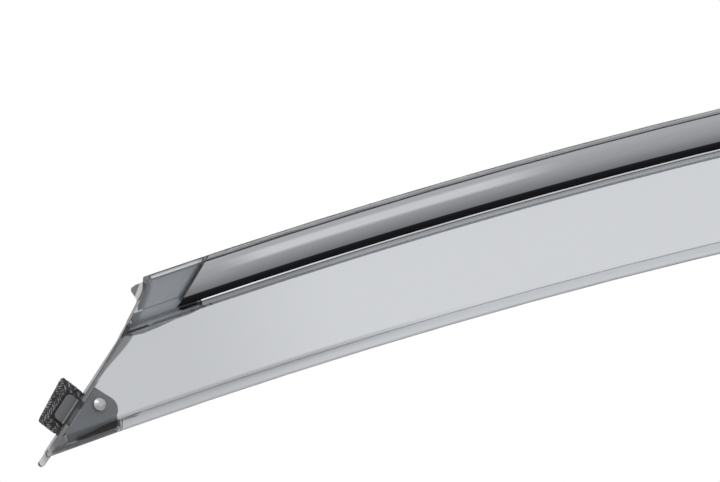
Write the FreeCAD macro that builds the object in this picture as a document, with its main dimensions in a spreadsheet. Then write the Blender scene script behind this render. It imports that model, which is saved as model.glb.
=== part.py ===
import FreeCAD, Part
import math
import os
import Sketcher

# A taped-on rain deflector for the rear side window of a car, in millimetres.
# The door lies in the plane Y = 0 and the outer face looks to -Y.
# +X runs towards the front of the car along the chord of the arch, +Z is up.
# The origin is the middle of the film on the mounting tape, on its outer face.
# A "depth" is a distance out from the door, so it is minus Y.

SIZES = [
    ("arch_radius", 3835.0, "arch along the middle of the tape"),
    ("upper_edge", 9.0, "top edge of the shell above the middle of the tape"),
    ("lower_radius", 3541.6, "arch along the bottom edge"),
    ("lower_shift", 42.7, "centre of the bottom arch behind the origin"),
    ("crest_height", 71.7, "shell height where the bottom arch crests"),
    ("overrun", 30.0, "how far a cutting outline reaches past the shell"),
    ("rear_knee_x", 352.3, "knee of the slanted rear end behind the origin"),
    ("rear_knee_drop", 27.2, "knee of the rear end below the origin"),
    ("rear_knee_round", 25.0, "rounding of the knee"),
    ("rear_low_angle", 40.0, "slope of the rear end below the knee, degrees"),
    ("rear_high_angle", 52.5, "slope of the rear end above the knee, degrees"),
    ("rear_top_angle", 70.6, "slope of the rear end beside the cap, degrees"),
    ("notch_up", 3.0, "foot of the hollow in the rear end, up from the knee"),
    ("rear_bend_up", 20.7, "deepest place of that hollow, up from the knee"),
    ("rear_bend_in", 2.2, "depth of that hollow"),
    ("rear_bend_round", 9.0, "rounding of that bend"),
    ("tip_blunt", 4.4, "how far the rear point is cut back, level"),
    ("tail_up", 6.3, "root of the narrow tail, up the rear end from the point"),
    ("tail_past", 2.6, "how far the tail runs past the point"),
    ("tail_width", 3.2, "narrow tail under the tip"),
    ("tail_round", 1.5, "rounding of the tail's end"),
    ("front_top_x", 343.0, "front end ahead of the origin"),
    ("front_angle", 79.6, "slope of the front end, degrees"),
    ("tape_thick", 1.1, "foam mounting tape"),
    ("tape_width", 12.0, "foam mounting tape"),
    ("tape_skin", 0.06, "bonding layer between a tape or the clip and the shell"),
    ("tape_rear_x", 341.0, "rear end of the tape behind the origin"),
    ("tape_front_x", 336.0, "front end of the tape ahead of the origin"),
    ("liner_thick", 0.15, "release film on the tape"),
    ("liner_margin", 0.8, "film past each long side of the tape"),
    ("liner_pull", 14.0, "free end of the film past the tape"),
    ("flange_thick", 3.0, "shell from the tape to the trim's seat"),
    ("flange_height", 22.0, "flat back of the flange, from the top edge"),
    ("band_edge_rise", 2.3, "raised band over the seat at its top edge"),
    ("band_crown_rise", 2.8, "raised band over the seat at its crown"),
    ("band_low_rise", 2.4, "raised band over the seat at its lower edge"),
    ("band_crown_drop", 9.5, "crown of the band below the top edge"),
    ("band_height", 20.0, "raised band"),
    ("top_round_depth", 1.8, "oval rounding of the shell's top edge, across"),
    ("top_round_height", 2.2, "oval rounding of the shell's top edge, upwards"),
    ("band_crown_round", 80.0, "crowning of the band's face"),
    ("band_low_round", 2.2, "rounding of the band's lower edge"),
    ("land_height", 0.7, "flat land under the band"),
    ("step_height", 2.8, "steep shoulder under the land"),
    ("step_rise", 1.9, "how far the shoulder stands out"),
    ("step_round", 5.0, "rounding on top of the shoulder"),
    ("bow_height", 15.0, "height over which the body bows out"),
    ("bow_rise", 4.2, "how far the body bows out"),
    ("bow_round", 30.0, "rounding from the bow to the upright panel"),
    ("wall", 2.2, "moulded wall of the body"),
    ("lip_return", 6.0, "how far the lower lip turns back to the door"),
    ("lip_round_height", 6.8, "height over which the lip turns"),
    ("lip_height", 5.8, "solid bead along the lower lip"),
    ("relief_height", 4.0, "slope from the flange to the end walls"),
    ("pocket_ahead", 42.0, "clip's pocket in the bead, ahead of the blunt end"),
    ("bead_height", 2.8, "shell left standing above the trim"),
    ("trim_rear_x", 297.0, "rear end of the trim's seat behind the origin"),
    ("trim_rear_angle", 41.8, "slope of the rear end of the trim, degrees"),
    ("trim_front_x", 317.0, "front end of the trim's seat ahead of the origin"),
    ("trim_gap", 0.3, "clearance round the trim in its seat"),
    ("trim_thick", 0.6, "stainless sheet of the trim"),
    ("trim_tape_margin", 2.2, "trim's own tape inside the trim's edges"),
    ("trim_tape_gap", 0.1, "clearance between the trim and its tape"),
    ("tab_root", 20.0, "root of the tape's free end ahead of the knee"),
    ("tab_front", 8.2, "rear edge of the tape's free end ahead of the knee"),
    ("tab_lean", 2.0, "how far that rear edge leans"),
    ("tab_drop", 1.5, "free end's upper edge at its root, under the shell's top edge"),
    ("tab_corner_drop", 3.0, "free end's corner under the shell's top edge"),
    ("tab_round", 1.8, "rounding of the free end's corner"),
    ("patch_rear_x", 356.5, "short lower strip of tape, rear end"),
    ("patch_front_x", 309.0, "short lower strip of tape, front end"),
    ("patch_gap", 0.5, "between the two strips of tape"),
    ("patch_slant", 9.5, "slant of its rear end"),
    ("patch_fray", 0.9, "waviness of the hand-cut lower edge"),
    ("patch_height", 10.0, "short lower strip of tape"),
    ("sheet_thick", 1.0, "sheet metal of the clip"),
    ("clip_gap", 0.4, "between the clip and the shell's walls"),
    ("plate_root_up", 47.5, "clip plate's upper edge at the end wall, up from the point"),
    ("plate_nose_up", 49.3, "clip plate's upper edge at its nose, up from the point"),
    ("plate_nose_inset", 22.0, "clip plate's nose from the rear end"),
    ("plate_nose_round", 6.5, "clip plate's nose"),
    ("fold_front_ahead", 41.0, "front end of the clip's fold, ahead of the blunt end"),
    ("fold_rear_ahead", 12.0, "rear end of the clip's fold, ahead of the blunt end"),
    ("plate_tail_up", 16.3, "clip plate's rear corner, up from the point"),
    ("fold_depth", 4.8, "clip's lower fold, back from the plate's face"),
    ("tongue_up", 38.8, "clip's tongue, up from the point"),
    ("tongue_length", 15.0, "clip's tongue along the rear end"),
    ("tongue_out", 6.0, "clip's tongue past the rear end"),
    ("tongue_round", 2.5, "clip's tongue"),
    ("tongue_gap", 0.3, "between the tongue and the end wall"),
    ("pad_up", 44.3, "sponge pad, up from the point"),
    ("pad_length", 26.5, "sponge pad along the rear end"),
    ("pad_out_high", 12.8, "sponge pad past the rear end at its upper corner"),
    ("pad_out_low", 10.6, "sponge pad past the rear end at its lower corner"),
    ("pad_inset", 3.5, "sponge pad behind the end wall"),
    ("pad_round", 1.4, "sponge pad's corners"),
    ("pad_clear", 0.2, "between the pad and the door"),
    ("rivet_up", 41.3, "rivet, up from the point"),
    ("rivet_inset", 9.1, "rivet, from the rear end"),
    ("rivet_head_radius", 3.15, "rivet's dome"),
    ("rivet_dome_radius", 1.3, "flat middle of the dome before rounding"),
    ("rivet_rise", 1.5, "rivet's dome over the shell"),
    ("rivet_rim", 0.35, "upright rim of the dome"),
    ("rivet_shank_radius", 1.6, "rivet's shank"),
    ("rivet_hole_gap", 0.1, "clearance round the shank"),
    ("rivet_tail_radius", 2.6, "rivet's closed end"),
    ("rivet_tail_thick", 0.9, "rivet's closed end"),
]

FORMULAS = [
    ("arch_centre_z", "-arch_radius"),
    ("sky_z", "upper_edge + overrun"),
    ("low_edge_z", "upper_edge - crest_height"),
    ("lower_centre_z", "low_edge_z - lower_radius"),
    ("ground_z", "low_edge_z - 4 * overrun"),
    ("out_depth", "body_depth + overrun"),
    ("back_depth", "liner_thick + tape_thick"),
    ("seat_depth", "back_depth + flange_thick"),
    ("band_edge_depth", "seat_depth + band_edge_rise"),
    ("band_crown_depth", "seat_depth + band_crown_rise"),
    ("band_low_depth", "seat_depth + band_low_rise"),
    ("band_crown_z", "upper_edge - band_crown_drop"),
    ("band_low_z", "upper_edge - band_height"),
    ("land_z", "band_low_z - land_height"),
    ("step_z", "land_z - step_height"),
    ("step_depth", "seat_depth + step_rise"),
    ("bow_z", "step_z - bow_height"),
    ("body_depth", "step_depth + bow_rise"),
    ("lip_back_depth", "body_depth - lip_return"),
    ("flange_foot_z", "upper_edge - flange_height"),
    ("relief_z", "flange_foot_z - relief_height"),
    ("inner_step_depth", "step_depth - wall"),
    ("inner_step_z", "step_z - wall / 2"),
    ("inner_body_depth", "body_depth - wall"),
    ("inner_bow_round", "bow_round - wall"),
    ("bead_radius", "lower_radius + lip_height"),
    ("pocket_floor_z", "low_edge_z + wall"),
    ("pocket_roof_z", "low_edge_z + lip_height + wall"),
    ("pocket_curl", "lip_return - wall"),
    ("curl_top_z", "low_edge_z + lip_round_height"),
    ("top_round_start_depth", "band_edge_depth - top_round_depth"),
    ("top_round_end_z", "upper_edge - top_round_height"),
    ("seat_top_z", "upper_edge - bead_height"),
    ("seat_low_z", "band_low_z - land_height / 2"),
    ("trim_top_z", "seat_top_z - trim_gap"),
    ("band_slope", "(band_crown_depth - band_edge_depth) / band_crown_drop"),
    ("trim_edge_depth", "band_crown_depth - band_slope * (trim_top_z - band_crown_z)"),
    ("trim_in_top_z", "trim_top_z - trim_thick"),
    ("trim_in_low_z", "band_low_z + trim_thick"),
    ("trim_in_edge_depth", "trim_edge_depth - trim_thick"),
    ("trim_in_crown_depth", "band_crown_depth - trim_thick"),
    ("trim_in_low_depth", "band_low_depth - trim_thick"),
    ("trim_in_crown_round", "band_crown_round - trim_thick"),
    ("trim_in_low_round", "band_low_round - trim_thick"),
    ("core_top_z", "trim_top_z - trim_tape_margin"),
    ("core_low_z", "band_low_z + trim_tape_margin + band_low_round / 2"),
    ("core_depth", "trim_in_low_depth - trim_tape_gap"),
    ("tape_top_z", "tape_width / 2"),
    ("tape_low_z", "-tape_width / 2"),
    ("liner_top_z", "tape_top_z + liner_margin"),
    ("liner_low_z", "tape_low_z - liner_margin"),
    ("liner_front_x", "tape_front_x + liner_pull"),
    ("rear_low", "rear_low_angle * 1 deg"),
    ("rear_high", "rear_high_angle * 1 deg"),
    ("front_slope", "front_angle * 1 deg"),
    ("trim_slope", "trim_rear_angle * 1 deg"),
    ("rear_top", "rear_top_angle * 1 deg"),
    ("knee_side", "lower_shift - rear_knee_x"),
    ("knee_lift", "-rear_knee_drop - lower_centre_z"),
    ("knee_reach", "knee_side * cos(rear_low) + knee_lift * sin(rear_low)"),
    ("knee_spare", "knee_side^2 + knee_lift^2 - lower_radius^2"),
    ("point_along", "knee_reach - sqrt(knee_reach^2 - knee_spare)"),
    ("rear_tip_x", "rear_knee_x + point_along * cos(rear_low) - tip_blunt"),
    ("reach", "rear_tip_x + 2 * overrun"),
    ("far_x", "reach + overrun"),
    ("sweep_angle", "2 * asin(reach / arch_radius)"),
    ("tail_start", "point_along - tail_up"),
    ("tail_end", "point_along + tail_past"),
    ("pocket_x", "rear_tip_x - pocket_ahead"),
    ("fold_front_x", "rear_tip_x - fold_front_ahead"),
    ("fold_rear_x", "rear_tip_x - fold_rear_ahead"),
    ("plate_root_along", "point_along - plate_root_up"),
    ("plate_nose_along", "point_along - plate_nose_up"),
    ("plate_tail_along", "point_along - plate_tail_up"),
    ("tongue_start", "point_along - tongue_up"),
    ("pad_start", "point_along - pad_up"),
    ("rivet_along", "point_along - rivet_up"),
    ("plate_inset", "wall + clip_gap"),
    ("plate_back_depth", "plate_depth - sheet_thick"),
    ("fold_back_depth", "inner_body_depth - fold_depth"),
    ("fold_round", "pocket_curl + clip_gap"),
    ("fold_inner_round", "fold_round - sheet_thick"),
    ("fold_floor_z", "pocket_floor_z + clip_gap"),
    ("fold_inner_z", "fold_floor_z + sheet_thick"),
    ("fold_roof_z", "fold_floor_z + fold_round + sheet_thick"),
    ("plate_lift", "wall + clip_gap + fold_round + sheet_thick / 2"),
    ("tongue_front_depth", "lip_back_depth - tongue_gap"),
    ("tongue_back_depth", "tongue_front_depth - sheet_thick"),
    ("joggle_inset", "plate_inset + sheet_thick"),
    ("tongue_end", "tongue_start + tongue_length"),
    ("pad_end", "pad_start + pad_length"),
    ("tape_depth", "back_depth - tape_skin"),
    ("core_back_depth", "seat_depth + tape_skin"),
    ("plate_depth", "inner_body_depth - tape_skin"),
    ("rivet_top_depth", "body_depth + rivet_rise"),
    ("rivet_rim_depth", "body_depth + rivet_rim"),
    ("rivet_tail_depth", "plate_back_depth - rivet_tail_thick"),
    ("rivet_hole_radius", "rivet_shank_radius + rivet_hole_gap"),
    ("tail_back_depth", "inner_body_depth - wall"),
    ("zero", "0"),
]

# Ragged lower edge of the short tape: share of its length, and how far it wanders.
PATCH_EDGE = [(0.0, 1.4), (0.16, 0.4), (0.34, 0.3), (0.52, -0.7), (0.72, -1.3), (0.88, -0.5), (1.0, 1.9)]

doc = FreeCAD.newDocument("rain_deflector")
sheet = doc.addObject("Spreadsheet::Sheet", "Sizes")
rows = 0


def add_cell(name, content, note=""):
    """Puts one named value or formula on the next row of the sheet."""
    global rows
    rows += 1
    sheet.set(f"A{rows}", note)
    sheet.set(f"B{rows}", content)
    sheet.setAlias(f"B{rows}", name)


def add_end_point(name, along, out):
    """Names a place by its distance along the rear end from the knee, and out from it."""
    add_cell(f"{name}_x", f"=-rear_knee_x - ({along}) * cos(rear_low) - ({out}) * sin(rear_low)")
    add_cell(f"{name}_z", f"=-rear_knee_drop - ({along}) * sin(rear_low) + ({out}) * cos(rear_low)")


def add_floor_point(name, x, lift):
    """Names a place at a given height over the shell's bottom edge."""
    add_cell(f"{name}_x", f"={x}")
    radius = f"(lower_radius + {lift})"
    add_cell(f"{name}_z", f"=lower_centre_z + sqrt({radius}^2 - ({x} + lower_shift)^2)")


def add_arch_point(name, x, lift):
    """Names a place at a given height over the middle line of the tape."""
    add_cell(f"{name}_x", f"={x}")
    add_cell(f"{name}_z", f"=arch_centre_z + sqrt((arch_radius + {lift})^2 - ({x})^2)")


def add_slant(name, x, slope):
    """Names where a slanted line through (x, 0) meets the cutting outline's top and foot."""
    add_cell(f"{name}_sky_x", f"={x} + sky_z / tan({slope})")
    add_cell(f"{name}_ground_x", f"={x} + ground_z / tan({slope})")


def add_rear_end(name, inset):
    """Names the corners of the bent rear end, moved into the shell by an inset."""
    spread = "(rear_high - rear_low) / 2"
    middle = "(rear_high + rear_low) / 2"
    knee_x = f"{name}_knee_x"
    knee_z = f"{name}_knee_z"
    add_cell(knee_x, f"=-rear_knee_x + {inset} * sin({middle}) / cos({spread})")
    add_cell(knee_z, f"=-rear_knee_drop - {inset} * cos({middle}) / cos({spread})")
    add_cell(f"{name}_sky_x", f"={knee_x} + (sky_z - {knee_z}) / tan(rear_high)")
    add_cell(f"{name}_tip_x", f"=-rear_tip_x + {inset}")
    add_cell(f"{name}_tip_z", f"={knee_z} - ({knee_x} - {name}_tip_x) * tan(rear_low)")


def fill_sheet():
    """Writes the driving sizes, then what follows from them."""
    for name, value, note in SIZES:
        add_cell(name, str(value), note)
    for name, formula in FORMULAS:
        add_cell(name, f"={formula}")
    add_rear_end("shell", "zero")
    add_rear_end("cavity", "wall")
    add_cell("notch_root_x", "=-rear_knee_x + notch_up * cos(rear_high)")
    add_cell("notch_root_z", "=-rear_knee_drop + notch_up * sin(rear_high)")
    add_cell("bend_x", "=-rear_knee_x + rear_bend_up * cos(rear_high) + rear_bend_in * sin(rear_high)")
    add_cell("bend_z", "=-rear_knee_drop + rear_bend_up * sin(rear_high) - rear_bend_in * cos(rear_high)")
    add_cell("bend_sky_x", "=bend_x + (sky_z - bend_z) / tan(rear_top)")
    add_slant("front", "front_top_x", "front_slope")
    add_slant("front_inner", "front_top_x - wall / sin(front_slope)", "front_slope")
    add_slant("seat_rear", "-trim_rear_x", "trim_slope")
    add_slant("seat_front", "trim_front_x", "front_slope")
    add_slant("trim_rear", "-trim_rear_x + trim_gap / sin(trim_slope)", "trim_slope")
    add_slant("trim_front", "trim_front_x - trim_gap / sin(front_slope)", "front_slope")
    core_inset = "(trim_gap + trim_tape_margin)"
    add_slant("core_rear", f"-trim_rear_x + {core_inset} / sin(trim_slope)", "trim_slope")
    add_slant("core_front", f"trim_front_x - {core_inset} / sin(front_slope)", "front_slope")
    add_end_point("plate_root", "plate_root_along", "-plate_inset")
    add_end_point("plate_nose", "plate_nose_along", "-plate_nose_inset")
    add_end_point("plate_tail", "plate_tail_along", "-plate_inset")
    add_floor_point("plate_heel", "-fold_front_x", "plate_lift")
    add_floor_point("plate_toe", "-fold_rear_x", "plate_lift")
    add_end_point("joggle_high", "tongue_start", "-plate_inset")
    add_end_point("joggle_low", "tongue_end", "-plate_inset")
    add_end_point("tongue_high_root", "tongue_start", "-joggle_inset")
    add_end_point("tongue_low_root", "tongue_end", "-joggle_inset")
    add_end_point("tongue_high", "tongue_start", "tongue_out")
    add_end_point("tongue_low", "tongue_end", "tongue_out")
    add_end_point("pad_high", "pad_start", "pad_out_high")
    add_end_point("pad_low", "pad_end", "pad_out_low")
    add_end_point("pad_high_root", "pad_start", "-pad_inset")
    add_end_point("pad_low_root", "pad_end", "-pad_inset")
    add_end_point("rivet", "rivet_along", "-rivet_inset")
    add_end_point("tail_root_outer", "tail_start", "zero")
    add_end_point("tail_root_inner", "tail_start", "-tail_width")
    add_end_point("tail_tip_outer", "tail_end", "zero")
    add_end_point("tail_tip_inner", "tail_end", "-tail_width")
    add_arch_point("tab_root_top", "-rear_knee_x + tab_root", "upper_edge - tab_drop")
    add_arch_point("tab_corner", "-rear_knee_x + tab_front", "upper_edge - tab_corner_drop")
    add_arch_point("tab_low", "-rear_knee_x + tab_front + tab_lean", "zero")
    add_arch_point("tab_foot", "-rear_knee_x + tab_front", "tape_low_z")
    add_arch_point("tab_root_foot", "-rear_knee_x + tab_root", "tape_low_z")
    add_arch_point("patch_top_rear", "-patch_rear_x + patch_slant", "tape_low_z - patch_gap")
    add_arch_point("patch_top_front", "-patch_front_x", "tape_low_z - patch_gap")
    for index, (share, fray) in enumerate(PATCH_EDGE):
        place = f"-patch_front_x - {share} * (patch_rear_x - patch_front_x)"
        lift = f"tape_low_z - patch_gap - patch_height + {fray} * patch_fray"
        add_arch_point(f"patch_edge{index}", place, lift)
    doc.recompute()


def cell(name):
    """Reads a named size as a plain number, with an optional minus sign in front."""
    value = sheet.get(name.lstrip("-"))
    number = float(getattr(value, "Value", value))
    return -number if name.startswith("-") else number


def bound(name):
    """Gives the expression that binds a property to a named size."""
    return f"-Sizes.{name[1:]}" if name.startswith("-") else f"Sizes.{name}"


def add_body(label):
    """Starts a piece of the deflector under its own name."""
    body = doc.addObject("PartDesign::Body", label)
    body.Label = label
    return body


def add_sketch(body, name, role, offset=None):
    """Lays a sketch on one of the body's own origin planes, moved along its normal."""
    sketch = body.newObject("Sketcher::SketchObject", name)
    plane = [item for item in body.Origin.OriginFeatures if item.Role == role][0]
    sketch.AttachmentSupport = [(plane, "")]
    sketch.MapMode = "FlatFace"
    if offset:
        sketch.setExpression("AttachmentOffset.Base.z", bound(offset))
    return sketch


def pin(sketch, geometry, position, x, y):
    """Ties one point of a sketch to two named sizes, counted from the sketch's origin."""
    for kind, name in (("DistanceX", x), ("DistanceY", y)):
        rule = Sketcher.Constraint(kind, -1, 1, geometry, position, cell(name))
        number = sketch.addConstraint(rule)
        sketch.setExpression(f"Constraints[{number}]", bound(name))


def rounded_corner(before, corner, after, radius):
    """Works out the arc that rounds a corner: its centre and its two ends."""
    to_before = (before - corner).normalize()
    to_after = (after - corner).normalize()
    half = to_before.getAngle(to_after) / 2
    trimmed = radius / math.tan(half)
    middle = (to_before + to_after).normalize()
    centre = corner + middle * (radius / math.sin(half))
    return centre, corner + to_before * trimmed, corner + to_after * trimmed


def add_oval_run(sketch, start, end, x, y):
    """Adds a quarter ellipse, longer upwards, round the point level with its end."""
    wide = abs(end.x - start.x)
    tall = abs(end.y - start.y)
    centre = FreeCAD.Vector(start.x, end.y, 0)
    top = centre + FreeCAD.Vector(0, tall, 0)
    side = centre - FreeCAD.Vector(wide, 0, 0)
    turns = [math.atan2((centre.x - spot.x) / wide, (spot.y - centre.y) / tall) for spot in (start, end)]
    left_turn = math.sin(turns[1] - turns[0]) > 0
    first, last = turns if left_turn else reversed(turns)
    if last < first:
        last += 2 * math.pi
    curve = Part.ArcOfEllipse(Part.Ellipse(top, side, centre), first, last)
    run = sketch.addGeometry(curve, False)
    sketch.exposeInternalGeometry(run)
    sketch.addConstraint(Sketcher.Constraint("Vertical", run + 1))
    pin(sketch, run, 3, x, y)
    return (run, 1, 2) if left_turn else (run, 2, 1)


def draw_outline(sketch, corners):
    """Draws a closed outline of straight runs.

    A corner's third name rounds it. The word oval instead makes the run up to it a quarter ellipse.
    """
    spots = [FreeCAD.Vector(cell(item[0]), cell(item[1]), 0) for item in corners]
    count = len(spots)
    starts = list(spots)
    ends = list(spots)
    arcs = {}
    for index, item in enumerate(corners):
        if len(item) < 3 or item[2] == "oval":
            continue
        before, after = spots[index - 1], spots[(index + 1) % count]
        arcs[index] = rounded_corner(before, spots[index], after, cell(item[2]))
        ends[index], starts[index] = arcs[index][1], arcs[index][2]
    runs = []
    for index, item in enumerate(corners):
        following = (index + 1) % count
        target = corners[following]
        if target[2:] == ("oval",):
            runs.append(add_oval_run(sketch, spots[index], spots[following], item[0], target[1]))
            continue
        line = sketch.addGeometry(Part.LineSegment(starts[index], ends[following]), False)
        runs.append((line, 1, 2))
    for index, item in enumerate(corners):
        run_in, _, end_in = runs[index - 1]
        run_out, start_out, _ = runs[index]
        if index not in arcs:
            sketch.addConstraint(Sketcher.Constraint("Coincident", run_in, end_in, run_out, start_out))
            pin(sketch, run_out, start_out, item[0], item[1])
            continue
        centre, enter, leave = arcs[index]
        angles = [math.atan2(spot.y - centre.y, spot.x - centre.x) for spot in (enter, leave)]
        left_turn = (leave - enter).cross(spots[index] - enter).z < 0
        if not left_turn:
            angles.reverse()
        if angles[1] < angles[0]:
            angles[1] += 2 * math.pi
        circle = Part.Circle(centre, FreeCAD.Vector(0, 0, 1), cell(item[2]))
        arc = sketch.addGeometry(Part.ArcOfCircle(circle, angles[0], angles[1]), False)
        corner = sketch.addGeometry(Part.Point(spots[index]), True)
        first, last = (1, 2) if left_turn else (2, 1)
        sketch.addConstraint(Sketcher.Constraint("Tangent", run_in, end_in, arc, first))
        sketch.addConstraint(Sketcher.Constraint("Tangent", arc, last, run_out, start_out))
        sketch.addConstraint(Sketcher.Constraint("PointOnObject", corner, 1, run_in))
        sketch.addConstraint(Sketcher.Constraint("PointOnObject", corner, 1, run_out))
        pin(sketch, corner, 1, item[0], item[1])
        number = sketch.addConstraint(Sketcher.Constraint("Radius", arc, cell(item[2])))
        sketch.setExpression(f"Constraints[{number}]", bound(item[2]))


def draw_circle(sketch, x, y, radius):
    """Draws one full circle at a named place."""
    centre = FreeCAD.Vector(cell(x), cell(y), 0)
    circle = Part.Circle(centre, FreeCAD.Vector(0, 0, 1), cell(radius))
    ring = sketch.addGeometry(circle, False)
    pin(sketch, ring, 3, x, y)
    number = sketch.addConstraint(Sketcher.Constraint("Radius", ring, cell(radius)))
    sketch.setExpression(f"Constraints[{number}]", bound(radius))


def sweep_section(body, name, corners, centre_z, offset=None, cut=False):
    """Carries a cross-section along the arch about its centre; corners are (depth, height)."""
    sketch = add_sketch(body, f"{name}_section", "YZ_Plane", offset)
    left = FreeCAD.Vector(-cell("body_depth"), cell(centre_z), 0)
    right = FreeCAD.Vector(0, cell(centre_z), 0)
    axis = sketch.addGeometry(Part.LineSegment(left, right), True)
    pin(sketch, axis, 1, "-body_depth", centre_z)
    pin(sketch, axis, 2, "zero", centre_z)
    draw_outline(sketch, [(f"-{item[0]}", *item[1:]) for item in corners])
    kind = "PartDesign::Groove" if cut else "PartDesign::Revolution"
    feature = body.newObject(kind, name)
    feature.Profile = sketch
    feature.ReferenceAxis = (sketch, ["Axis0"])
    feature.Midplane = True
    feature.setExpression("Angle", "Sizes.sweep_angle")
    sketch.Visibility = False
    return feature


def pad_front(body, name, corners, near, far):
    """Raises a front-view outline between two depths."""
    sketch = add_sketch(body, f"{name}_outline", "XZ_Plane", near)
    draw_outline(sketch, corners)
    feature = body.newObject("PartDesign::Pad", name)
    feature.Profile = sketch
    feature.setExpression("Length", f"{bound(far)} - {bound(near)}")
    return feature


def cut_front(body, name, corners=None, circle=None, near=None):
    """Cuts a front-view outline or circle away, outwards from a depth or right through."""
    sketch = add_sketch(body, f"{name}_outline", "XZ_Plane", near)
    if corners:
        draw_outline(sketch, corners)
    else:
        draw_circle(sketch, *circle)
    feature = body.newObject("PartDesign::Pocket", name)
    feature.Profile = sketch
    if near:
        feature.Reversed = True
        feature.setExpression("Length", f"Sizes.out_depth - {bound(near)}")
    else:
        feature.Midplane = True
        feature.setExpression("Length", "2 * Sizes.out_depth")
    return feature


def cut_beyond(body, name, line, side):
    """Cuts off what lies behind (-) or ahead (+) of a slanted line."""
    far = f"{side}far_x"
    corners = [
        (f"{line}_sky_x", "sky_z"),
        (f"{line}_ground_x", "ground_z"),
        (far, "ground_z"),
        (far, "sky_z"),
    ]
    return cut_front(body, name, corners)


def cut_rear_end(body, name, end, rounding):
    """Cuts the bent, pointed rear end."""
    knee = (f"{end}_knee_x", f"{end}_knee_z", rounding)
    corners = [
        (f"{end}_sky_x", "sky_z"),
        knee,
        (f"{end}_tip_x", f"{end}_tip_z"),
        (f"{end}_tip_x", "ground_z"),
        ("-far_x", "ground_z"),
        ("-far_x", "sky_z"),
    ]
    return cut_front(body, name, corners)


def cut_square(body, name, x, side):
    """Cuts off what lies beyond an upright line."""
    far = f"{side}far_x"
    corners = [(x, "sky_z"), (x, "ground_z"), (far, "ground_z"), (far, "sky_z")]
    return cut_front(body, name, corners)


def build_cavity():
    """The air space behind the bowed body, open to the door."""
    body = add_body("cavity")
    sweep_section(body, "cavity_form", [
        ("zero", "flange_foot_z"),
        ("inner_step_depth", "inner_step_z"),
        ("inner_body_depth", "bow_z", "inner_bow_round"),
        ("inner_body_depth", "ground_z"),
        ("zero", "ground_z"),
    ], "arch_centre_z")
    cut_front(body, "bead_top", circle=("-lower_shift", "lower_centre_z", "bead_radius"))
    cut_rear_end(body, "rear_wall", "cavity", "rear_knee_round")
    cut_beyond(body, "front_wall", "front_inner", "")
    return body


def build_pocket():
    """Room for the clip, where the bead along the lip is cut away."""
    body = add_body("clip_pocket")
    sweep_section(body, "pocket_form", [
        ("zero", "pocket_floor_z"),
        ("inner_body_depth", "pocket_floor_z", "pocket_curl"),
        ("inner_body_depth", "pocket_roof_z"),
        ("zero", "pocket_roof_z"),
    ], "lower_centre_z", offset="-lower_shift")
    cut_rear_end(body, "pocket_rear", "cavity", "rear_knee_round")
    cut_square(body, "pocket_front", "-pocket_x", "")
    return body


def build_seat():
    """The recess that takes the stainless trim."""
    body = add_body("trim_seat")
    sweep_section(body, "seat_form", [
        ("seat_depth", "seat_top_z"),
        ("out_depth", "seat_top_z"),
        ("out_depth", "seat_low_z"),
        ("seat_depth", "seat_low_z"),
    ], "arch_centre_z")
    cut_beyond(body, "seat_rear_end", "seat_rear", "-")
    cut_beyond(body, "seat_front_end", "seat_front", "")
    return body


def build_shell():
    """The smoked visor: one moulding with flange, raised end caps, bowed body and lip."""
    tools = [build_cavity(), build_pocket(), build_seat()]
    body = add_body("visor_shell")
    sweep_section(body, "shell_form", [
        ("back_depth", "upper_edge"),
        ("top_round_start_depth", "upper_edge"),
        ("band_edge_depth", "top_round_end_z", "oval"),
        ("band_crown_depth", "band_crown_z", "band_crown_round"),
        ("band_low_depth", "band_low_z", "band_low_round"),
        ("seat_depth", "band_low_z"),
        ("seat_depth", "land_z"),
        ("step_depth", "step_z", "step_round"),
        ("body_depth", "bow_z", "bow_round"),
        ("body_depth", "ground_z"),
        ("lip_back_depth", "ground_z"),
        ("lip_back_depth", "relief_z"),
        ("back_depth", "flange_foot_z"),
    ], "arch_centre_z")
    cut_front(body, "bottom_edge", circle=("-lower_shift", "lower_centre_z", "lower_radius"))
    sweep_section(body, "lip_curl", [
        ("zero", "low_edge_z"),
        ("lip_back_depth", "low_edge_z"),
        ("body_depth", "curl_top_z", "oval"),
        ("out_depth", "curl_top_z"),
        ("out_depth", "ground_z"),
        ("zero", "ground_z"),
    ], "lower_centre_z", offset="-lower_shift", cut=True)
    cut_rear_end(body, "rear_end", "shell", "rear_knee_round")
    cut_front(body, "rear_hollow", [
        ("notch_root_x", "notch_root_z"),
        ("bend_x", "bend_z", "rear_bend_round"),
        ("bend_sky_x", "sky_z"),
        ("-far_x", "sky_z"),
        ("-far_x", "notch_root_z"),
    ])
    cut_beyond(body, "front_end", "front", "")
    doc.recompute()
    hollow = body.newObject("PartDesign::Boolean", "hollows")
    hollow.setObjects(tools)
    hollow.Type = 1
    doc.recompute()
    pad_front(body, "tail", [
        ("tail_root_outer_x", "tail_root_outer_z"),
        ("tail_tip_outer_x", "tail_tip_outer_z", "tail_round"),
        ("tail_tip_inner_x", "tail_tip_inner_z", "tail_round"),
        ("tail_root_inner_x", "tail_root_inner_z"),
    ], "tail_back_depth", "inner_body_depth")
    cut_front(body, "rivet_hole", circle=("rivet_x", "rivet_z", "rivet_hole_radius"), near="lip_back_depth")
    return body


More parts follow.
